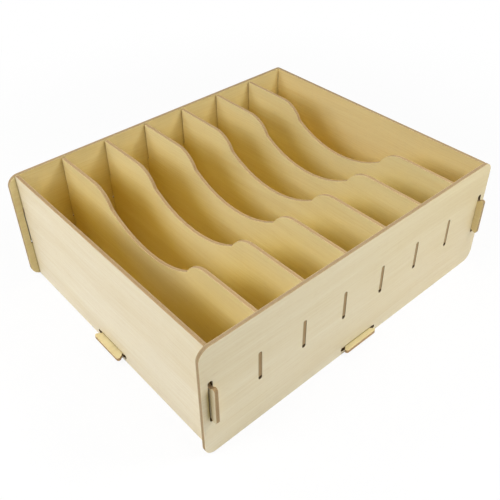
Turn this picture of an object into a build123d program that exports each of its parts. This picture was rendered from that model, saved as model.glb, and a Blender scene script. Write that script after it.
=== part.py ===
"""Compartment storage box of slotted boards, in millimetres.

X runs along the front panel to the right, Y from front to back, Z up. The origin is at the middle of the
box, on the surface that it stands on. The front and back panels carry everything else: the side panels and
the base hook into slots in them, and the dividers' end tabs fill a row of upright slots.
"""
from build123d import *
import os

# Boards
board = 3.0                  # thickness of every board

# Inside of the box
compartment_width = 39.0     # clear width between two dividers
divider_count = 6
inner_depth = 244.0          # between the front and back panels
box_height = 105.0

# Front and back panels
end_overhang = 6.5           # past the outer faces of the side panels
corner_radius = 9.5

# Dividers
rim_drop = 1.0               # lands below the rim of the box
land_length = 50.0           # level stretch at each end
shoulder_radius = 25.0       # of the round stretch that drops from a land into the scoop
shoulder_turn = 64.4         # degrees that it turns before the scoop cuts it off
scoop_depth = 29.0           # middle of the scoop below the lands
scoop_fillet = 4.0           # where the scoop runs into a shoulder
divider_front_gap = 0.1      # between its front end and the front panel
divider_back_gap = 0.9       # between its back end and the back panel
divider_tab_height = 23.4
divider_tab_rise = 1.1       # middle of the tab above the middle of the divider
divider_tab_recess = 0.2     # end of the tab below the panel's outer face
divider_slot_drop = 2.8      # slot past the lower side of the tab
divider_slot_rise = 1.2      # slot past the upper side of the tab
divider_slot_gap = 0.15      # slot past each face of the tab

# Side panels
side_back_gap = 0.4          # between the back end and the back panel
side_back_hook_drop = 1.9    # back hook below the front one

# Hooks of the side panels and the base
hook_neck = 29.6             # length where it leaves the panel's outer face
hook_head = 34.4             # length at its widest
hook_corner = 2.0            # radius of the head's outer corners
hook_edge = 0.4              # straight end of the head, between flare and corner
side_hook_reach = 5.6        # past the outer face of the front or back panel
side_hook_height = 53.2      # middle of a side panel's front hook above the surface the box stands on
base_front_reach = 4.3       # front and back hooks of the base, past the panel's outer face
base_end_reach = 6.1         # left and right hooks of the base, past the panel's outer face
base_end_place = 1.4         # middle of the left and right hooks behind the middle of the box
hook_slot_play = 2.8         # slot past each end of the head
hook_slot_gap = 0.5          # half of what is left between a hook's faces and its slot
side_slot_rise = 0.8         # middle of the slot above the middle of the side panel's front hook
side_slot_shift = 0.3        # middle of the slot outward of the middle of the side panel

# Base
base_lift = 3.0              # underside above the surface the box stands on
base_edge_gap = 0.2          # between the base and each panel around it

# Sizes that follow
inner_length = (divider_count + 1) * compartment_width + divider_count * board
outer_length = inner_length + 2 * board
panel_length = outer_length + 2 * end_overhang
outer_depth = inner_depth + 2 * board
divider_pitch = compartment_width + board
base_top = base_lift + board
divider_bottom = base_top
divider_top = box_height - rim_drop
divider_tab_middle = (divider_bottom + divider_top) / 2 + divider_tab_rise
hook_slot_length = hook_head + 2 * hook_slot_play
hook_slot_width = board + 2 * hook_slot_gap


def divider_places():
    """X of the middle of each divider, from left to right."""
    first = -(divider_count - 1) / 2 * divider_pitch
    return [first + index * divider_pitch for index in range(divider_count)]


def hook(reach, edge_gap):
    """Outline of a hook that points along +Y, its neck leaving the panel's outer face at the origin.

    The neck starts at the edge of its own board, edge_gap short of the panel.
    """
    flare_end = reach - hook_corner - hook_edge
    outline = Polygon(
        (-hook_neck / 2, -board - edge_gap),
        (hook_neck / 2, -board - edge_gap),
        (hook_neck / 2, 0),
        (hook_head / 2, flare_end),
        (hook_head / 2, reach),
        (-hook_head / 2, reach),
        (-hook_head / 2, flare_end),
        (-hook_neck / 2, 0),
        align=None,
    )
    outer_corners = outline.vertices().sort_by(Axis.Y)[-2:]
    return fillet(outer_corners, hook_corner)


def base_slot(place):
    """Lying slot for a hook of the base, which rests on the slot's floor, in a panel's own X and Y."""
    return Pos(place, base_lift + hook_slot_width / 2) * SlotOverall(hook_slot_length, hook_slot_width)


def long_panel():
    """Front or back panel, drawn in X and Z."""
    outline = Pos(0, box_height / 2) * RectangleRounded(panel_length, box_height, corner_radius)
    outline -= base_slot(0)
    tab_slot = SlotOverall(
        divider_tab_height + divider_slot_drop + divider_slot_rise,
        board + 2 * divider_slot_gap,
        rotation=90,
    )
    slot_middle = divider_tab_middle + (divider_slot_rise - divider_slot_drop) / 2
    for place in divider_places():
        outline -= Pos(place, slot_middle) * tab_slot
    side_slot = SlotOverall(hook_slot_length, hook_slot_width, rotation=90)
    for side in (-1, 1):
        middle = side * ((inner_length + board) / 2 + side_slot_shift)
        outline -= Pos(middle, side_hook_height + side_slot_rise) * side_slot
    return extrude(Plane.XZ.offset(inner_depth / 2) * outline, board)


def side_panel():
    """Left side panel, drawn in Y and Z."""
    outline = Pos(-side_back_gap / 2, box_height / 2) * Rectangle(inner_depth - side_back_gap, box_height)
    outline -= base_slot(base_end_place)
    for end, edge_gap, drop in ((-1, 0, 0), (1, side_back_gap, side_back_hook_drop)):
        hook_place = Pos(end * outer_depth / 2, side_hook_height - drop) * Rot(0, 0, -90 * end)
        outline += hook_place * hook(side_hook_reach, edge_gap)
    return extrude(Plane.YZ.offset(-outer_length / 2) * outline, board)


def base_panel():
    """Base, drawn in X and Y."""
    outline = Rectangle(inner_length - 2 * base_edge_gap, inner_depth - 2 * base_edge_gap)
    front_hook = hook(base_front_reach, base_edge_gap)
    end_hook = hook(base_end_reach, base_edge_gap)
    for side in (-1, 1):
        outline += Pos(0, side * outer_depth / 2) * Rot(0, 0, 90 - 90 * side) * front_hook
        outline += Pos(side * outer_length / 2, base_end_place) * Rot(0, 0, -90 * side) * end_hook
    return extrude(Plane.XY.offset(base_lift) * outline, board)


def divider_half(end_gap):
    """Back half of a divider, drawn in Y and Z: half of the scoop, shoulder, land and the end with its tab."""
    end = inner_depth / 2 - end_gap
    tab_end = outer_depth / 2 - divider_tab_recess
    tab_low = divider_tab_middle - divider_tab_height / 2
    tab_high = divider_tab_middle + divider_tab_height / 2
    scoop_floor = divider_top - scoop_depth
    land_end = inner_depth / 2 - land_length
    shoulder = Vector(land_end, divider_top - shoulder_radius)
    meeting = shoulder + Vector(0, shoulder_radius).rotate(Axis.Z, shoulder_turn)
    half = [
        Line((0, divider_bottom), (0, scoop_floor)),
        TangentArc((0, scoop_floor), meeting, tangent=(1, 0)),
        TangentArc((land_end, divider_top), meeting, tangent=(-1, 0)),
        Polyline(
            (land_end, divider_top),
            (end, divider_top),
            (end, tab_high),
            (tab_end, tab_high),
            (tab_end, tab_low),
            (end, tab_low),
            (end, divider_bottom),
            (0, divider_bottom),
        ),
    ]
    outline = make_face(Curve() + half)
    return fillet(outline.vertices().sort_by_distance(meeting)[0], scoop_fillet)


def divider(place):
    """One divider, its front half a mirrored back half."""
    outline = divider_half(divider_back_gap) + mirror(divider_half(divider_front_gap), Plane.YZ)
    return extrude(Plane.YZ.offset(place - board / 2) * outline, board)


front = long_panel()
left = side_panel()
pieces = {
    "front_panel": front,
    "back_panel": mirror(front, Plane.XZ),
    "left_side_panel": left,
    "right_side_panel": mirror(left, Plane.YZ),
    "base_panel": base_panel(),
}
for number, place in enumerate(divider_places(), start=1):
    pieces[f"divider_{number}"] = divider(place)

os.makedirs("parts", exist_ok=True)
for name, piece in pieces.items():
    export_step(piece, f"parts/{name}.step")
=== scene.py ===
"""Looks of the compartment storage box: boards cut from laminated sheet, on a pale studio floor.

Every board is drawn flat as the outline that a cutter follows, in its own length and height. A node tree
rounds the corners, cuts the slots and gives the board its thickness, and then the board is stood in place.
All lengths are in metres, in the frame of the CAD model.
"""
import math

import bpy
from mathutils import Matrix, Quaternion, Vector


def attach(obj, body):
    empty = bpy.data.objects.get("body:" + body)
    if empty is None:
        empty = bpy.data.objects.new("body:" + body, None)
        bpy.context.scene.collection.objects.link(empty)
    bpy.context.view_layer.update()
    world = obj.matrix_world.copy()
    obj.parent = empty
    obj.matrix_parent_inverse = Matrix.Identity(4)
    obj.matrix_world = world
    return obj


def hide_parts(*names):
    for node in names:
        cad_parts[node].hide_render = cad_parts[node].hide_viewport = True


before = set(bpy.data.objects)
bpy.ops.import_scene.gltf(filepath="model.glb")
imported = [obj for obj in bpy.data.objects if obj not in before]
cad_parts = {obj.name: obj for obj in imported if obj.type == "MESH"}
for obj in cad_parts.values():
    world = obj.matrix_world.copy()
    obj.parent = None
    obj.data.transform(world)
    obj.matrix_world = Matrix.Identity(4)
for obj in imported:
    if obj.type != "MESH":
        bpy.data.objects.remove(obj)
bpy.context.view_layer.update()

MM = 0.001
BOARD = 3.0 * MM
HALF_BOARD = 1.5                # in millimetres
EDGE_ROUND = 0.14 * MM          # the cutter leaves this much rounding on every sharp edge
ARC_TURN = math.radians(7)      # largest turn between two points of a rounded corner

# Sizes of the CAD model, in millimetres
PANEL_HALF = 155.0              # front and back panels, from the middle to an end
PANEL_HEIGHT = 105.0
PANEL_CORNER = 9.5
SIDE_FACE = 148.5               # outer faces of the side panels, from the middle
SIDE_INNER_FACE = 145.5
LONG_FACE = 125.0               # outer faces of the front and back panels, from the middle
LONG_INNER_FACE = 122.0
SIDE_SLOT_PLACE = 147.3         # slots for the side panels' hooks, from the middle
SIDE_SLOT_HEIGHT = 54.0
BASE_SLOT_HEIGHT = 5.0
HOOK_SLOT_LENGTH = 40.0
HOOK_SLOT_WIDTH = 4.0
HOOK_NECK = 29.6
HOOK_HEAD = 34.4
HOOK_CORNER = 2.0
HOOK_EDGE = 0.4                 # straight end of the head, between flare and corner
SIDE_HOOK_REACH = 5.6
BASE_HALF_LENGTH = 145.3
BASE_HALF_DEPTH = 121.8
BASE_FRONT_REACH = 4.3
BASE_END_REACH = 6.1
BASE_END_PLACE = 1.4            # left and right hooks behind the middle of the box
BASE_LIFT = 3.0                 # underside above the surface that the box stands on
DIVIDER_COUNT = 6
DIVIDER_PITCH = 42.0
FIRST_DIVIDER = -105.0          # middle of the leftmost one
DIVIDER_TOP = 104.0             # its level lands
DIVIDER_BOTTOM = 6.0
SCOOP_FLOOR = 75.0
TAB_END = 124.8                 # ends of its tabs, from the middle of the box

# Finishes, as linear colours
# Paper of the outer faces, as (left end, right end): low down, and at the rim. The drift follows the photo
# and is painted light and shade.
OUTSIDE_LOW = ((0.824, 0.742, 0.530), (0.824, 0.727, 0.500))
OUTSIDE_HIGH = ((0.780, 0.695, 0.480), (0.755, 0.650, 0.395))
RIM = (0.835, 0.724, 0.405)             # paper of the inner faces near the rim
DEEP = (0.86, 0.685, 0.205)             # paper of the inner faces down in the compartments, deepened by painted shade
STREAK = (0.84, 0.75, 0.58)             # a grain streak's colour, as a share of the paper's
CORE = (0.46, 0.275, 0.125)             # fibreboard where the cutter went through it
CORE_DARK = (0.24, 0.145, 0.07)
FIBRE = (0.80, 0.66, 0.38)              # its palest fibres
WHITE = (1.0, 1.0, 1.0)
PAINTED_SHADE_COLOUR = (0.105, 0.068, 0.024)          # painted shade: walls of the slots, darker than the other cut edges, and the joints
BOUNCE_TINT = (0.29, 0.20, 0.005)             # painted bounce light: yellow tint on the hooks and beside their slots
PAPER = (0.83, 0.73, 0.50)              # edge of the laminate on each side of the core
FLOOR = (0.92, 0.92, 0.92)

TAB_END_SHADE = 0.3                 # share of the slot walls' painted shade that the ends of the dividers' tabs have

CAMERA_PLACE = (-0.30647, -0.34568, 0.41038)
CAMERA_AHEAD = (0.523159, 0.594921, -0.610225)
CAMERA_ROLL = -0.639            # degrees
CAMERA_LENS = 48.705            # millimetres, on a 36 mm sensor
CAMERA_SHIFT = (-0.0007, -0.0639)

# Softboxes close to the box, as (place, power in watts)
SOFT_BOXES = {
    "right_front_softbox": ((0.3, -0.4, 0.6), 2.6),
    "left_softbox": ((-0.6, 0.0, 0.5), 1.95),
    "front_softbox": ((0.0, -0.6, 0.5), 1.16),
    "left_back_softbox": ((-0.8, 0.4, 0.5), 1.51),
    "back_softbox": ((-0.25, 0.4, 0.6), 1.01),
}
SOFT_BOX_SIZE = 0.25
SOFT_BOX_AIM = (0, 0, 0.05)

# Glow of the studio's walls and ceiling, as (degrees round from the front by the left, degrees up, strength)
WALL_GLOW = [
    (150, 8, 1.64),
    (210, 8, 2.59),
    (270, 8, 2.36),
    (0, 90, 1.08),
]


class Graph:
    """A node tree that is wired while its nodes are added."""

    def __init__(self, tree):
        self.tree = tree

    def add(self, kind, inputs=None, **settings):
        """Adds a node, gives it its settings, and then sets or links its inputs."""
        node = self.tree.nodes.new(kind)
        for name, value in settings.items():
            setattr(node, name, value)
        for name, value in (inputs or {}).items():
            if isinstance(value, bpy.types.NodeSocket):
                self.link(value, node.inputs[name])
            else:
                node.inputs[name].default_value = value
        return node

    def link(self, value, socket):
        self.tree.links.new(value, socket)

    def math(self, operation, *values):
        return self.add("ShaderNodeMath", dict(enumerate(values)), operation=operation).outputs[0]

    def vector(self, operation, *values):
        return self.add("ShaderNodeVectorMath", dict(enumerate(values)), operation=operation)

    def xyz(self, x=0.0, y=0.0, z=0.0):
        return self.add("ShaderNodeCombineXYZ", {"X": x, "Y": y, "Z": z}).outputs[0]

    def ramp(self, value, low, high, to_low=0.0, to_high=1.0):
        """Carries value smoothly from to_low at low to to_high at high."""
        return self.add(
            "ShaderNodeMapRange",
            {"Value": value, "From Min": low, "From Max": high, "To Min": to_low, "To Max": to_high},
            interpolation_type="SMOOTHSTEP",
        ).outputs[0]

    def noise(self, place, scale, detail, rough=0.5):
        return self.add(
            "ShaderNodeTexNoise",
            {"Vector": place, "Scale": scale, "Detail": detail, "Roughness": rough},
        ).outputs[0]

    def mix(self, factor, a, b, blend="MIX"):
        node = self.add("ShaderNodeMix", {0: factor, 6: a, 7: b}, data_type="RGBA", blend_type=blend)
        return node.outputs[2]


def group(name, kind, inputs, outputs):
    """An empty node group with named sockets: (name, socket type, default) in, (name, socket type) out."""
    tree = bpy.data.node_groups.new(name, kind)
    for socket, socket_type, default in inputs:
        made = tree.interface.new_socket(socket, in_out="INPUT", socket_type=socket_type)
        if default is not None:
            made.default_value = default
    for socket, socket_type in outputs:
        tree.interface.new_socket(socket, in_out="OUTPUT", socket_type=socket_type)
    graph = Graph(tree)
    return graph, graph.add("NodeGroupInput").outputs, graph.add("NodeGroupOutput")


# Board shapes

def cutting_tree():
    """Turns a drawn outline into a board, with a row of upright slots where one is asked for."""
    g, given, out = group(
        "cut_board",
        "GeometryNodeTree",
        [
            ("Outline", "NodeSocketGeometry", None),
            ("Thickness", "NodeSocketFloat", BOARD),
            ("Slot Count", "NodeSocketInt", 0),
            ("Slot Pitch", "NodeSocketFloat", 0.0),
            ("Slot Height", "NodeSocketFloat", 0.0),
            ("Slot Length", "NodeSocketFloat", 0.0),
            ("Slot Width", "NodeSocketFloat", 0.0),
            ("Near Face", "NodeSocketMaterial", None),
            ("Far Face", "NodeSocketMaterial", None),
            ("Cut Edge", "NodeSocketMaterial", None),
        ],
        [("Board", "NodeSocketGeometry")],
    )
    rounding = g.add("GeometryNodeInputNamedAttribute", {"Name": "rounding"}, data_type="FLOAT")
    steps = g.add("GeometryNodeInputNamedAttribute", {"Name": "steps"}, data_type="INT")
    drawn = g.add("GeometryNodeMeshToCurve", {"Mesh": given["Outline"]})
    outline = g.add(
        "GeometryNodeFilletCurve",
        {
            "Curve": drawn.outputs[0],
            "Count": steps.outputs[0],
            "Radius": rounding.outputs[0],
            "Limit Radius": False,
        },
        mode="POLY",
    )
    slot = g.add(
        "GeometryNodeCurvePrimitiveQuadrilateral",
        {"Width": given["Slot Width"], "Height": given["Slot Length"]},
        mode="RECTANGLE",
    )
    round_slot = g.add(
        "GeometryNodeFilletCurve",
        {"Curve": slot.outputs[0], "Count": 8, "Radius": g.math("MULTIPLY", given["Slot Width"], 0.4999)},
        mode="POLY",
    )
    gaps = g.math("SUBTRACT", given["Slot Count"], 1.0)
    start = g.math("MULTIPLY", gaps, g.math("MULTIPLY", given["Slot Pitch"], -0.5))
    row = g.add(
        "GeometryNodeMeshLine",
        {
            "Count": given["Slot Count"],
            "Start Location": g.xyz(x=start, y=given["Slot Height"]),
            "Offset": g.xyz(x=given["Slot Pitch"]),
        },
        mode="OFFSET",
    )
    slots = g.add(
        "GeometryNodeInstanceOnPoints",
        {"Points": row.outputs[0], "Instance": round_slot.outputs[0]},
    )
    cuts = g.add("GeometryNodeRealizeInstances", {"Geometry": slots.outputs[0]})
    lines = g.add("GeometryNodeJoinGeometry")
    for part in (cuts.outputs[0], outline.outputs[0]):
        g.link(part, lines.inputs[0])
    face = g.add("GeometryNodeFillCurve", {"Curve": lines.outputs[0]}, mode="NGONS")
    raised = g.add(
        "GeometryNodeExtrudeMesh",
        {
            "Mesh": face.outputs[0],
            "Offset": (0.0, 0.0, 1.0),
            "Offset Scale": given["Thickness"],
            "Individual": False,
        },
        mode="FACES",
    )
    near = g.add("GeometryNodeFlipFaces", {"Mesh": face.outputs[0]})
    near = g.add("GeometryNodeSetMaterial", {"Geometry": near.outputs[0], "Material": given["Near Face"]})
    far = g.add(
        "GeometryNodeSetMaterial",
        {"Geometry": raised.outputs["Mesh"], "Material": given["Far Face"]},
    )
    edged = g.add(
        "GeometryNodeSetMaterial",
        {"Geometry": far.outputs[0], "Selection": raised.outputs["Side"], "Material": given["Cut Edge"]},
    )
    both = g.add("GeometryNodeJoinGeometry")
    for part in (near.outputs[0], edged.outputs[0]):
        g.link(part, both.inputs[0])
    joined = g.add("GeometryNodeMergeByDistance", {"Geometry": both.outputs[0], "Distance": 0.001 * MM})
    g.link(joined.outputs[0], out.inputs[0])
    return g.tree


def turn_at(before, corner, after):
    """How far the outline turns at a corner, in radians."""
    a = Vector(corner[:2]) - Vector(before[:2])
    b = Vector(after[:2]) - Vector(corner[:2])
    return abs(a.angle_signed(b))


def drawn_outline(name, loops):
    """A mesh of bare lines, one closed line for each loop of (x, y, rounding) corners in millimetres."""
    mesh = bpy.data.meshes.new(name)
    corners = [corner for loop in loops for corner in loop]
    edges, steps, first = [], [], 0
    for loop in loops:
        count = len(loop)
        edges += [(first + i, first + (i + 1) % count) for i in range(count)]
        steps += [
            math.ceil(turn_at(loop[i - 1], loop[i], loop[(i + 1) % count]) / ARC_TURN) if loop[i][2] else 1
            for i in range(count)
        ]
        first += count
    mesh.from_pydata([(x * MM, y * MM, 0.0) for x, y, _ in corners], edges, [])
    rounding = mesh.attributes.new("rounding", "FLOAT", "POINT")
    rounding.data.foreach_set("value", [r * MM for _, _, r in corners])
    turns = mesh.attributes.new("steps", "INT", "POINT")
    turns.data.foreach_set("value", steps)
    return mesh


def set_input(modifier, name, value):
    """Sets a modifier's input, found by its name, through the socket's identifier."""
    for item in modifier.node_group.interface.items_tree:
        if item.item_type == "SOCKET" and item.in_out == "INPUT" and item.name == name:
            modifier[item.identifier] = value
            return
    raise KeyError(name)


def plain_mesh(obj, name):
    """The object's evaluated shape as a mesh of its own."""
    bpy.context.view_layer.update()
    seen = obj.evaluated_get(bpy.context.evaluated_depsgraph_get())
    mesh = bpy.data.meshes.new_from_object(seen)
    mesh.name = name
    return mesh


def board_piece(name, node, loops, stand, sheet_place, near, far, tone=WHITE, edge_tone=WHITE, **slots):
    """Cuts one board, rounds its edges, stands it in place and lets it stand for its CAD node."""
    blank = bpy.data.objects.new(name + "_drawing", drawn_outline(name + "_drawing", loops))
    bpy.context.scene.collection.objects.link(blank)
    cut = blank.modifiers.new("cut", "NODES")
    cut.node_group = CUT
    for socket, value in {"Near Face": near, "Far Face": far, "Cut Edge": cut_edge, **slots}.items():
        set_input(cut, socket, value)
    edge = blank.modifiers.new("edge", "BEVEL")
    edge.width = EDGE_ROUND
    edge.segments = 2
    edge.limit_method = "ANGLE"
    edge.angle_limit = math.radians(40)
    edge.harden_normals = True
    mesh = plain_mesh(blank, name)
    bpy.data.objects.remove(blank)
    lay_sheet(mesh, sheet_place)
    # Painted shade on the walls of the slots and the ends of the tabs
    mark_slot_shade(mesh, loops[1:], slots)
    set_tone(mesh, "tone", tone)
    set_tone(mesh, "edge_tone", edge_tone)
    mesh.transform(stand)
    piece = bpy.data.objects.new(name, mesh)
    bpy.context.scene.collection.objects.link(piece)
    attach(piece, "root")
    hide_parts(node)


def lay_sheet(mesh, sheet_place):
    """Keeps each corner's place on the sheet that the board was cut from, and its place across the board."""
    sheet = mesh.uv_layers.new(name="sheet")
    across = mesh.attributes.new("across", "FLOAT", "POINT")
    for loop in mesh.loops:
        spot = mesh.vertices[loop.vertex_index].co
        sheet.data[loop.index].uv = (spot.x + sheet_place[0], spot.y + sheet_place[1])
    across.data.foreach_set("value", [vertex.co.z / BOARD for vertex in mesh.vertices])


def mark_slot_shade(mesh, slot_loops, row):
    """Marks where the cut edges get painted shade: walls of slots fully, ends of tabs a little."""
    boxes = []
    for loop in slot_loops:
        xs, ys = [x * MM for x, _, _ in loop], [y * MM for _, y, _ in loop]
        boxes.append((min(xs), max(xs), min(ys), max(ys)))
    for i in range(row.get("Slot Count", 0)):
        x = (i - (row["Slot Count"] - 1) / 2) * row["Slot Pitch"]
        a, b, y = row["Slot Width"] / 2, row["Slot Length"] / 2, row["Slot Height"]
        boxes.append((x - a, x + a, y - b, y + b))
    margin = 0.3 * MM

    def slot_shade(x, y):
        for left, right, low, high in boxes:
            if left - margin < x < right + margin and low - margin < y < high + margin:
                return 1.0
        return TAB_END_SHADE if abs(abs(x) - TAB_END * MM) < margin else 0.0

    marks = mesh.attributes.new("slot_shade", "FLOAT", "POINT")
    marks.data.foreach_set("value", [slot_shade(vertex.co.x, vertex.co.y) for vertex in mesh.vertices])


def set_tone(mesh, name, tone):
    """A tint for this board, as a share of the paper's or the core's colour."""
    shade = mesh.attributes.new(name, "FLOAT_COLOR", "POINT")
    shade.data.foreach_set("color", [*tone, 1.0] * len(mesh.vertices))


def hook(middle, reach, out):
    """Corners of a hook on the line through middle, pointing along out, counter-clockwise."""
    along = Vector((-out[1], out[0]))
    places = [
        (-HOOK_NECK / 2, 0.0, 0.0),
        (-HOOK_HEAD / 2, reach - HOOK_CORNER - HOOK_EDGE, 0.0),
        (-HOOK_HEAD / 2, reach, HOOK_CORNER),
        (HOOK_HEAD / 2, reach, HOOK_CORNER),
        (HOOK_HEAD / 2, reach - HOOK_CORNER - HOOK_EDGE, 0.0),
        (HOOK_NECK / 2, 0.0, 0.0),
    ]
    spots = [Vector(middle) + along * a + Vector(out) * b for a, b, _ in places]
    return [(spot.x, spot.y, r) for spot, (_, _, r) in zip(spots, places)]


def slot(x, y, upright):
    """Corners of a slot for a hook, with round ends."""
    across, along = HOOK_SLOT_WIDTH / 2, HOOK_SLOT_LENGTH / 2
    a, b = (across, along) if upright else (along, across)
    r = across * 0.9998
    return [(x - a, y - b, r), (x - a, y + b, r), (x + a, y + b, r), (x + a, y - b, r)]


def long_panel_loops():
    """Front or back panel: X along it, Y up."""
    corners = [(-PANEL_HALF, 0), (PANEL_HALF, 0), (PANEL_HALF, PANEL_HEIGHT), (-PANEL_HALF, PANEL_HEIGHT)]
    loops = [[(x, y, PANEL_CORNER) for x, y in corners], slot(0, BASE_SLOT_HEIGHT, upright=False)]
    for side in (-1, 1):
        loops.append(slot(side * SIDE_SLOT_PLACE, SIDE_SLOT_HEIGHT, upright=True))
    return loops


def side_panel_loops():
    """Side panel: X from front to back, Y up."""
    front_end, back_end, front_hook, back_hook = LONG_INNER_FACE, 121.6, 53.2, 51.3
    front = hook((-LONG_FACE, front_hook), SIDE_HOOK_REACH, (-1, 0))
    back = hook((LONG_FACE, back_hook), SIDE_HOOK_REACH, (1, 0))
    neck = HOOK_NECK / 2
    outline = [
        (-front_end, 0, 0),
        (back_end, 0, 0),
        (back_end, back_hook - neck, 0),
        *back,
        (back_end, back_hook + neck, 0),
        (back_end, PANEL_HEIGHT, 0),
        (-front_end, PANEL_HEIGHT, 0),
        (-front_end, front_hook + neck, 0),
        *front,
        (-front_end, front_hook - neck, 0),
    ]
    return [outline, slot(BASE_END_PLACE, BASE_SLOT_HEIGHT, upright=False)]


def base_panel_loops():
    """Base: X along the box, Y from front to back."""
    x, y, neck = BASE_HALF_LENGTH, BASE_HALF_DEPTH, HOOK_NECK / 2
    outline = [
        (-x, -y, 0),
        (-neck, -y, 0),
        *hook((0, -LONG_FACE), BASE_FRONT_REACH, (0, -1)),
        (neck, -y, 0),
        (x, -y, 0),
        (x, BASE_END_PLACE - neck, 0),
        *hook((SIDE_FACE, BASE_END_PLACE), BASE_END_REACH, (1, 0)),
        (x, BASE_END_PLACE + neck, 0),
        (x, y, 0),
        (neck, y, 0),
        *hook((0, LONG_FACE), BASE_FRONT_REACH, (0, 1)),
        (-neck, y, 0),
        (-x, y, 0),
        (-x, BASE_END_PLACE + neck, 0),
        *hook((-SIDE_FACE, BASE_END_PLACE), BASE_END_REACH, (-1, 0)),
        (-x, BASE_END_PLACE - neck, 0),
    ]
    return [outline]


def divider_loops():
    """Divider: X from front to back, Y up. Three rounded corners on each side make shoulder and scoop."""
    top, floor = DIVIDER_TOP, SCOOP_FLOOR
    front_end, back_end, tab_middle, tab = 121.9, 121.1, 56.1, 23.4 / 2
    land_end, shoulder, turn, small = 72.0, 25.0, math.radians(64.4), 4.0
    meeting = Vector((land_end - shoulder * math.sin(turn), top - shoulder + shoulder * math.cos(turn)))
    rise = meeting.y - floor
    scoop = (meeting.x ** 2 + rise ** 2) / (2 * rise)
    middle = Vector((land_end, top - shoulder))
    bowl = Vector((0, floor + scoop))

    # The small fillet between them touches the shoulder from outside and the scoop from inside.
    apart = (middle - bowl).length
    off_middle, off_bowl = shoulder + small, scoop - small
    along = (apart ** 2 + off_bowl ** 2 - off_middle ** 2) / (2 * apart)
    aside = math.sqrt(off_bowl ** 2 - along ** 2)
    line = (middle - bowl).normalized()
    fillet = bowl + line * along + Vector((-line.y, line.x)) * -aside

    # The three corners that these arcs round
    out_of_land = math.atan2(fillet.x - middle.x, fillet.y - middle.y)
    out_of_bowl = math.atan2(fillet.x - bowl.x, bowl.y - fillet.y)
    first = (land_end - shoulder * math.tan(abs(out_of_land) / 2), top, shoulder)
    third = (scoop * math.tan(out_of_bowl / 2), floor, scoop)
    leaves = middle + (fillet - middle).normalized() * shoulder
    enters = bowl + (fillet - bowl).normalized() * scoop
    down = Vector((leaves.x - first[0], leaves.y - first[1]))
    up = Vector((enters.x - third[0], enters.y - third[1]))
    s = ((third[0] - first[0]) * up.y - (third[1] - first[1]) * up.x) / (down.x * up.y - down.y * up.x)
    second = (first[0] + down.x * s, first[1] + down.y * s, small)

    def half(end):
        return [
            (end, DIVIDER_BOTTOM, 0),
            (end, tab_middle - tab, 0),
            (TAB_END, tab_middle - tab, 0),
            (TAB_END, tab_middle + tab, 0),
            (end, tab_middle + tab, 0),
            (end, top, 0),
            first,
            second,
            third,
        ]

    return [half(back_end) + [(-x, y, r) for x, y, r in reversed(half(front_end))]]


def standing_along_x(y):
    """Stands a board drawn in length and height along X, its first face at y and its thickness behind it."""
    return Matrix(((1, 0, 0, 0), (0, 0, -1, (y + BOARD / MM) * MM), (0, 1, 0, 0), (0, 0, 0, 1)))


def standing_along_y(x):
    """Stands a board drawn in depth and height along Y, its thickness from x to the right."""
    return Matrix(((0, 0, 1, x * MM), (1, 0, 0, 0), (0, 1, 0, 0), (0, 0, 0, 1)))


def lying(z):
    """Lays a board flat, its underside at z."""
    return Matrix.Translation((0, 0, z * MM))


# Finishes

def grain_group():
    """Printed wood grain of the laminate, from a place on the sheet in metres. Grain runs along its X."""
    g, given, out = group(
        "printed_grain",
        "ShaderNodeTree",
        [
            ("Sheet", "NodeSocketVector", None),
            ("Streak Width", "NodeSocketFloat", 1.1 * MM),
            ("Streak Length", "NodeSocketFloat", 70 * MM),
            ("Figure Width", "NodeSocketFloat", 14 * MM),
        ],
        [(socket, "NodeSocketFloat") for socket in ("Streaks", "Figure", "Pores", "Height")],
    )
    part = g.add("ShaderNodeSeparateXYZ", {0: given["Sheet"]}).outputs
    u, v = part[0], part[1]

    def noise(along, over, detail, seed, rough=0.5):
        spot = g.xyz(g.math("DIVIDE", u, along), g.math("DIVIDE", v, over), seed)
        return g.noise(spot, 1.0, detail, rough)

    # A slow sideways wander keeps the streaks from being ruler-straight.
    drift = g.noise(g.xyz(g.math("MULTIPLY", u, 9.0), g.math("MULTIPLY", v, 14.0), 3.0), 1.0, 1.0)
    v = g.math("ADD", v, g.math("MULTIPLY", g.math("SUBTRACT", drift, 0.5), 9 * MM))
    streak = noise(given["Streak Length"], given["Streak Width"], 3.0, 0.0, 0.6)
    figure = noise(g.math("MULTIPLY", given["Figure Width"], 16.0), given["Figure Width"], 2.0, 7.0)
    pore = noise(9 * MM, 0.35 * MM, 1.0, 11.0)
    g.link(g.ramp(streak, 0.34, 0.68), out.inputs["Streaks"])
    g.link(g.ramp(figure, 0.3, 0.7), out.inputs["Figure"])
    g.link(g.ramp(pore, 0.62, 0.74), out.inputs["Pores"])
    g.link(g.math("MULTIPLY_ADD", pore, 0.4, streak), out.inputs["Height"])
    return g.tree


def handling_group():
    """Where hands and dust have dulled the surface, from a place in metres."""
    g, given, out = group(
        "handling",
        "ShaderNodeTree",
        [("Place", "NodeSocketVector", None), ("Patch Size", "NodeSocketFloat", 45 * MM)],
        [("Dulled", "NodeSocketFloat"), ("Specks", "NodeSocketFloat")],
    )
    scale = g.math("DIVIDE", 1.0, given["Patch Size"])
    patches = g.noise(given["Place"], scale, 4.0, 0.62)
    specks = g.noise(given["Place"], g.math("MULTIPLY", scale, 42.0), 1.0)
    g.link(g.ramp(patches, 0.42, 0.66), out.inputs["Dulled"])
    g.link(g.ramp(specks, 0.72, 0.78), out.inputs["Specks"])
    return g.tree


def blank_graph(owner):
    """The node tree of a material or a world, emptied."""
    owner.use_nodes = True
    owner.node_tree.nodes.clear()
    return Graph(owner.node_tree)


def surface(name):
    """A new material, its graph and its Principled shader."""
    material = bpy.data.materials.new(name)
    g = blank_graph(material)
    shader = g.add("ShaderNodeBsdfPrincipled")
    g.add("ShaderNodeOutputMaterial", {"Surface": shader.outputs[0]})
    return material, g, shader


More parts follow.
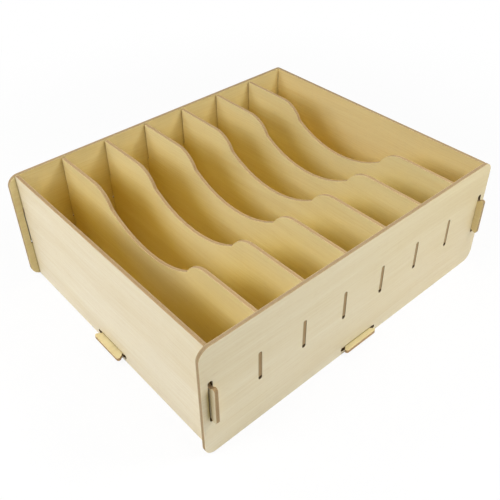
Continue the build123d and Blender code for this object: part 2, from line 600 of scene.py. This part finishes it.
def inside_paper_and_painted_shade(g, place):
    """Colour of the inner faces, paler near the line of rims and scoops and deep yellow below, as painted
    shade on the paper.

    The photo's boards also throw light at each other, and part of the deep yellow stands for that.
    """
    part = g.add("ShaderNodeSeparateXYZ", {0: place}).outputs
    x_out = g.math("SUBTRACT", g.math("ABSOLUTE", part[0]), SIDE_FACE * MM)
    y_out = g.math("SUBTRACT", g.math("ABSOLUTE", part[1]), LONG_FACE * MM)
    outside_box = g.math("GREATER_THAN", g.math("MAXIMUM", x_out, y_out), 0.0)
    rim = g.ramp(g.math("ABSOLUTE", part[1]), 5 * MM, 78 * MM, SCOOP_FLOOR * MM, DIVIDER_TOP * MM)
    near_rim = g.ramp(g.math("SUBTRACT", rim, part[2]), 2 * MM, 50 * MM, 1.0, 0.0)
    return g.mix(g.math("MAXIMUM", near_rim, outside_box), (*DEEP, 1), (*RIM, 1))


def outside_paper_and_painted_light(g, place):
    """Colour of the outer faces, with painted light and shade that changes slowly from left to right and from
    the foot to the rim.
    """
    part = g.add("ShaderNodeSeparateXYZ", {0: place}).outputs
    rightward = g.ramp(part[0], -80 * MM, 130 * MM)
    low = g.mix(rightward, *((*colour, 1) for colour in OUTSIDE_LOW))
    high = g.mix(rightward, *((*colour, 1) for colour in OUTSIDE_HIGH))
    return g.mix(g.ramp(part[2], 15 * MM, 100 * MM), low, high)


def joint_group():
    """Dark tint that stands for the shade in the joints, from a place in metres.

    1 on hooks and tabs inside a slot, and less on the side panels' hooks where their inner face is and on
    the long panels along the outer side of a side panel.
    """
    g, given, out = group(
        "joint_shade", "ShaderNodeTree", [("Place", "NodeSocketVector", None)], [("Shade", "NodeSocketFloat")]
    )
    part = g.add("ShaderNodeSeparateXYZ", {0: given["Place"]}).outputs
    x, y = g.math("ABSOLUTE", part[0]), g.math("ABSOLUTE", part[1])
    inset, fade = 0.1, 0.3 * MM
    divider_reach = 100.0 * MM

    def within(value, low, high):
        rising = g.ramp(value, low * MM, low * MM + fade)
        return g.math("MINIMUM", rising, g.ramp(value, high * MM - fade, high * MM, 1.0, 0.0))

    long_panels = within(y, LONG_INNER_FACE + inset, LONG_FACE - inset)
    long_panels = g.math("MULTIPLY", long_panels, g.math("LESS_THAN", x, (SIDE_FACE + 0.5) * MM))
    inner_hook_face = g.math(
        "MULTIPLY",
        g.math("LESS_THAN", x, (SIDE_INNER_FACE + inset) * MM),
        g.math("GREATER_THAN", x, (SIDE_INNER_FACE - inset) * MM),
    )
    long_panels = g.math("MULTIPLY", long_panels, g.math("MULTIPLY_ADD", inner_hook_face, -0.6, 1.0))
    side_panels = within(x, SIDE_INNER_FACE + inset, SIDE_FACE - inset)
    side_panels = g.math("MULTIPLY", side_panels, g.math("LESS_THAN", y, divider_reach))
    off_inner_face = g.math("ABSOLUTE", g.math("SUBTRACT", y, LONG_INNER_FACE * MM))
    inner_faces = g.math("LESS_THAN", off_inner_face, 0.05 * MM)
    corners = g.math("MULTIPLY", inner_faces, within(x, SIDE_FACE - 0.2, SIDE_FACE + 0.9))
    slots = g.math("MAXIMUM", long_panels, side_panels)
    g.link(g.math("MAXIMUM", slots, g.math("MULTIPLY", corners, 0.4)), out.inputs["Shade"])
    return g.tree


def painted_bounce_group():
    """Painted bounce light: a yellow tint on the hooks and beside the side panels' slots, from a place in
    metres.

    The photo shows it at the left front hook, where it is probably light thrown back by the boards.
    """
    g, given, out = group(
        "hook_bounce_light", "ShaderNodeTree", [("Place", "NodeSocketVector", None)], [("Bounce Light", "NodeSocketFloat")]
    )
    part = g.add("ShaderNodeSeparateXYZ", {0: given["Place"]}).outputs
    x, y, z = g.math("ABSOLUTE", part[0]), g.math("ABSOLUTE", part[1]), part[2]
    starts, ends = (SIDE_FACE + 0.4) * MM, (SIDE_FACE + 4.8) * MM
    beside = g.math("MULTIPLY", g.ramp(x, starts, ends, 0.85, 0.0), g.math("GREATER_THAN", x, starts))
    beside = g.math("MULTIPLY", beside, g.math("GREATER_THAN", y, (LONG_FACE - 0.1) * MM))
    height = g.math("MINIMUM", g.ramp(z, 34 * MM, 42 * MM), g.ramp(z, 60 * MM, 70 * MM, 1.0, 0.0))
    beside = g.math("MULTIPLY", beside, height)
    outer_face = g.math("GREATER_THAN", x, (SIDE_FACE - 0.1) * MM)
    along_hook = g.ramp(y, (LONG_FACE - 0.5) * MM, (LONG_FACE + 4) * MM, 0.55, 0.12)
    hooks = g.math("MULTIPLY_ADD", along_hook, outer_face, 0.08)
    hooks = g.math("MULTIPLY", hooks, g.math("GREATER_THAN", y, (LONG_FACE + 0.02) * MM))
    g.link(g.math("MAXIMUM", beside, hooks), out.inputs["Bounce Light"])
    return g.tree


def laminate_material(name, inner):
    """Pale satin laminate with a fine printed grain."""
    figure_share, streak_share, pore_share, speck_share, shade_share = 0.24, 0.30, 0.24, 0.25, 0.8
    material, g, shader = surface(name)
    sheet = g.add("ShaderNodeUVMap", uv_map="sheet").outputs[0]
    place = g.add("ShaderNodeTexCoord").outputs["Object"]
    grain = g.add("ShaderNodeGroup", {"Sheet": sheet}, node_tree=GRAIN).outputs
    worn = g.add("ShaderNodeGroup", {"Place": place}, node_tree=HANDLING).outputs
    shade = g.add("ShaderNodeGroup", {"Place": place}, node_tree=JOINT_SHADE).outputs["Shade"]
    bounce_light = g.add("ShaderNodeGroup", {"Place": place}, node_tree=HOOK_BOUNCE_LIGHT).outputs["Bounce Light"]
    # Paper colour, with painted shade on the inner faces and painted light and shade on the outer faces
    paper = inside_paper_and_painted_shade(g, place) if inner else outside_paper_and_painted_light(g, place)
    tone = g.add("ShaderNodeAttribute", attribute_name="tone").outputs["Color"]
    paper = g.mix(1.0, paper, tone, "MULTIPLY")
    figure = g.math("MULTIPLY", grain["Figure"], figure_share)
    grained = g.math("ADD", figure, g.math("MULTIPLY", grain["Streaks"], streak_share))
    colour = g.mix(grained, paper, (*STREAK, 1), "MULTIPLY")
    colour = g.mix(g.math("MULTIPLY", grain["Pores"], pore_share), colour, (*CORE, 1))
    colour = g.mix(g.math("MULTIPLY", worn["Specks"], speck_share), colour, (*CORE, 1))
    # Painted bounce light: a yellow tint on the hooks and beside their slots
    colour = g.mix(bounce_light, colour, (*BOUNCE_TINT, 1))
    # Painted shade in the joints, in the dark brown of the painted slot shade
    colour = g.mix(g.math("MULTIPLY", shade, shade_share), colour, (*PAINTED_SHADE_COLOUR, 1))
    g.link(colour, shader.inputs["Base Color"])
    rough = g.math("ADD", 0.42, g.math("MULTIPLY", worn["Dulled"], 0.12))
    rough = g.math("ADD", rough, g.math("MULTIPLY", grain["Streaks"], 0.05))
    rough = g.math("MAXIMUM", rough, g.math("MULTIPLY", shade, 0.95))
    g.link(rough, shader.inputs["Roughness"])
    bump = g.add("ShaderNodeBump", {"Height": grain["Height"], "Strength": 0.12, "Distance": 0.05 * MM})
    g.link(bump.outputs[0], shader.inputs["Normal"])
    shader.inputs["IOR"].default_value = 1.46
    return material


def cut_edge_material():
    """Sawn fibreboard: brown core, darker along its middle, the laminate's paper a pale line on each side."""
    dark_share, fibre_share, speck_share, paper_share, slot_shade_share = 0.45, 0.35, 0.4, 0.5, 0.85
    material, g, shader = surface("cut_fibreboard_edge")
    place = g.add("ShaderNodeTexCoord").outputs["Object"]
    across = g.add("ShaderNodeAttribute", attribute_name="across").outputs["Fac"]
    worn = g.add("ShaderNodeGroup", {"Place": place}, node_tree=HANDLING).outputs
    fibre = g.noise(place, 1500.0, 3.0, 0.7)
    clump = g.noise(place, 190.0, 3.0, 0.6)
    off_middle = g.math("ABSOLUTE", g.math("SUBTRACT", across, 0.5))
    wander = g.math("MULTIPLY", g.math("SUBTRACT", clump, 0.5), 0.12)
    middle = g.ramp(g.math("ADD", off_middle, wander), 0.05, 0.24, 1.0, 0.0)
    paper = g.ramp(g.math("ADD", off_middle, g.math("MULTIPLY", wander, 0.35)), 0.435, 0.465)
    colour = g.mix(g.math("MULTIPLY", middle, dark_share), (*CORE, 1), (*CORE_DARK, 1))
    colour = g.mix(g.ramp(fibre, 0.35, 0.75, 0.0, fibre_share), colour, (*FIBRE, 1))
    colour = g.mix(g.math("MULTIPLY", worn["Specks"], speck_share), colour, (*CORE_DARK, 1))
    tone = g.add("ShaderNodeAttribute", attribute_name="edge_tone").outputs["Color"]
    colour = g.mix(1.0, colour, tone, "MULTIPLY")
    colour = g.mix(g.math("MULTIPLY", paper, paper_share), colour, (*PAPER, 1))
    # Painted shade on the walls of the slots and the ends of the tabs
    slot_shaded = g.add("ShaderNodeAttribute", attribute_name="slot_shade").outputs["Fac"]
    colour = g.mix(g.math("MULTIPLY", slot_shaded, slot_shade_share), colour, (*PAINTED_SHADE_COLOUR, 1))
    g.link(colour, shader.inputs["Base Color"])
    rough = g.math("ADD", 0.72, g.math("MULTIPLY", fibre, 0.2))
    g.link(g.math("MAXIMUM", rough, slot_shaded), shader.inputs["Roughness"])
    bump = g.add("ShaderNodeBump", {"Height": fibre, "Strength": 0.35, "Distance": 0.12 * MM})
    g.link(bump.outputs[0], shader.inputs["Normal"])
    return material


# Studio

def looked_at(g):
    """1 where the camera looks, straight, in a reflection or through glass, and 0 for light on the object."""
    rays = g.add("ShaderNodeLightPath").outputs
    indirect = g.math("MAXIMUM", rays["Is Glossy Ray"], rays["Is Transmission Ray"])
    return g.math("MAXIMUM", rays["Is Camera Ray"], indirect)


def floor_piece():
    """Pale floor that shows white to the camera and keeps a soft shadow."""
    mesh = bpy.data.meshes.new("studio_floor")
    reach = 4.0
    corners = [(-reach, -reach, 0), (reach, -reach, 0), (reach, reach, 0), (-reach, reach, 0)]
    mesh.from_pydata(corners, [], [(0, 1, 2, 3)])
    piece = bpy.data.objects.new("studio_floor", mesh)
    bpy.context.scene.collection.objects.link(piece)
    material = bpy.data.materials.new("studio_floor")
    g = blank_graph(material)
    lit = g.add("ShaderNodeBsdfDiffuse", {"Color": (*FLOOR, 1)})
    white = g.add("ShaderNodeEmission", {"Color": (1, 1, 1, 1), "Strength": 1.0})
    place = g.add("ShaderNodeTexCoord").outputs["Object"]
    away = g.vector("LENGTH", place).outputs["Value"]
    share = g.math("MULTIPLY", looked_at(g), g.ramp(away, 0.2, 0.6, 0.9, 1.0))
    mixed = g.add("ShaderNodeMixShader", {0: share, 1: lit.outputs[0], 2: white.outputs[0]})
    g.add("ShaderNodeOutputMaterial", {"Surface": mixed.outputs[0]})
    mesh.materials.append(material)


def around(azimuth, elevation):
    """A direction in the studio: azimuth 0 is in front of the box, 90 at its left."""
    a, e = math.radians(azimuth), math.radians(elevation)
    return Vector((-math.sin(a) * math.cos(e), -math.cos(a) * math.cos(e), math.sin(e)))


def studio_world(lights, spread=20.0):
    """Soft patches of light round the studio. The camera and reflections see plain white."""
    world = bpy.data.worlds.new("studio")
    bpy.context.scene.world = world
    g = blank_graph(world)
    towards = g.add("ShaderNodeTexCoord").outputs["Generated"]
    total = 0.0
    for azimuth, elevation, strength in lights:
        facing = g.vector("DOT_PRODUCT", towards, around(azimuth, elevation)).outputs["Value"]
        patch = g.math("POWER", g.math("MAXIMUM", facing, 0.0), spread)
        total = g.math("MULTIPLY_ADD", patch, strength, total)
    soft = g.add("ShaderNodeBackground", {"Color": (1, 1, 1, 1), "Strength": total})
    white = g.add("ShaderNodeBackground", {"Color": (1, 1, 1, 1), "Strength": 1.0})
    mixed = g.add("ShaderNodeMixShader", {0: looked_at(g), 1: soft.outputs[0], 2: white.outputs[0]})
    g.add("ShaderNodeOutputWorld", {"Surface": mixed.outputs[0]})


def soft_box(name, place, power):
    """A square studio lamp that shines at the box and doesn't show itself."""
    lamp = bpy.data.lights.new(name, "AREA")
    lamp.shape = "SQUARE"
    lamp.size = SOFT_BOX_SIZE
    lamp.energy = power
    obj = bpy.data.objects.new(name, lamp)
    obj.location = place
    obj.rotation_mode = "QUATERNION"
    obj.rotation_quaternion = (Vector(SOFT_BOX_AIM) - Vector(place)).to_track_quat("-Z", "Y")
    obj.visible_camera = False
    bpy.context.scene.collection.objects.link(obj)


def camera():
    """Camera at the photograph's viewing angle."""
    data = bpy.data.cameras.new("camera")
    data.sensor_width = 36.0
    data.lens = CAMERA_LENS
    data.shift_x, data.shift_y = CAMERA_SHIFT
    data.clip_start, data.clip_end = 0.05, 20.0
    obj = bpy.data.objects.new("camera", data)
    obj.location = CAMERA_PLACE
    obj.rotation_mode = "QUATERNION"
    level = Vector(CAMERA_AHEAD).to_track_quat("-Z", "Y")
    obj.rotation_quaternion = level @ Quaternion((0, 0, 1), math.radians(CAMERA_ROLL))
    bpy.context.scene.collection.objects.link(obj)
    bpy.context.scene.camera = obj


CUT = cutting_tree()
GRAIN = grain_group()
HANDLING = handling_group()
JOINT_SHADE = joint_group()
HOOK_BOUNCE_LIGHT = painted_bounce_group()
outside = laminate_material("outside_laminate", inner=False)
inside = laminate_material("inside_laminate", inner=True)
cut_edge = cut_edge_material()

tab_slots = {
    "Slot Count": DIVIDER_COUNT,
    "Slot Pitch": DIVIDER_PITCH * MM,
    "Slot Height": 55.3 * MM,
    "Slot Length": 27.4 * MM,
    "Slot Width": 3.3 * MM,
}
board_piece(
    "front_board",
    "front_panel",
    long_panel_loops(),
    standing_along_x(-LONG_FACE),
    (0.21, 0.34),
    inside,
    outside,
    edge_tone=(0.80, 0.86, 0.90),
    **tab_slots,
)
board_piece(
    "back_board",
    "back_panel",
    long_panel_loops(),
    standing_along_x(LONG_INNER_FACE),
    (0.83, 1.27),
    outside,
    inside,
    tone=(0.955, 0.925, 0.835),
    edge_tone=(0.80, 0.86, 0.84),
    **tab_slots,
)
board_piece(
    "left_board",
    "left_side_panel",
    side_panel_loops(),
    standing_along_y(-SIDE_FACE),
    (1.47, 0.72),
    outside,
    inside,
    tone=(1.0, 1.0, 1.05),
    edge_tone=(0.80, 0.82, 0.78),
)
board_piece(
    "right_board",
    "right_side_panel",
    side_panel_loops(),
    standing_along_y(SIDE_INNER_FACE),
    (2.11, 1.93),
    inside,
    outside,
    tone=(1.03, 0.99, 0.94),
    edge_tone=(0.80, 0.86, 0.84),
)
board_piece("bottom_board", "base_panel", base_panel_loops(), lying(BASE_LIFT), (3.05, 0.41), outside, inside)
for number in range(DIVIDER_COUNT):
    board_piece(
        f"scooped_board_{number + 1}",
        f"divider_{number + 1}",
        divider_loops(),
        standing_along_y(FIRST_DIVIDER + DIVIDER_PITCH * number - HALF_BOARD),
        (0.4 + 0.61 * number, 2.5 + 0.173 * number),
        inside,
        inside,
        edge_tone=(0.93, 0.96, 0.90),
    )

bpy.context.scene.view_settings.view_transform = "Standard"
floor_piece()
studio_world(WALL_GLOW)
for name, (place, power) in SOFT_BOXES.items():
    soft_box(name, place, power)
camera()
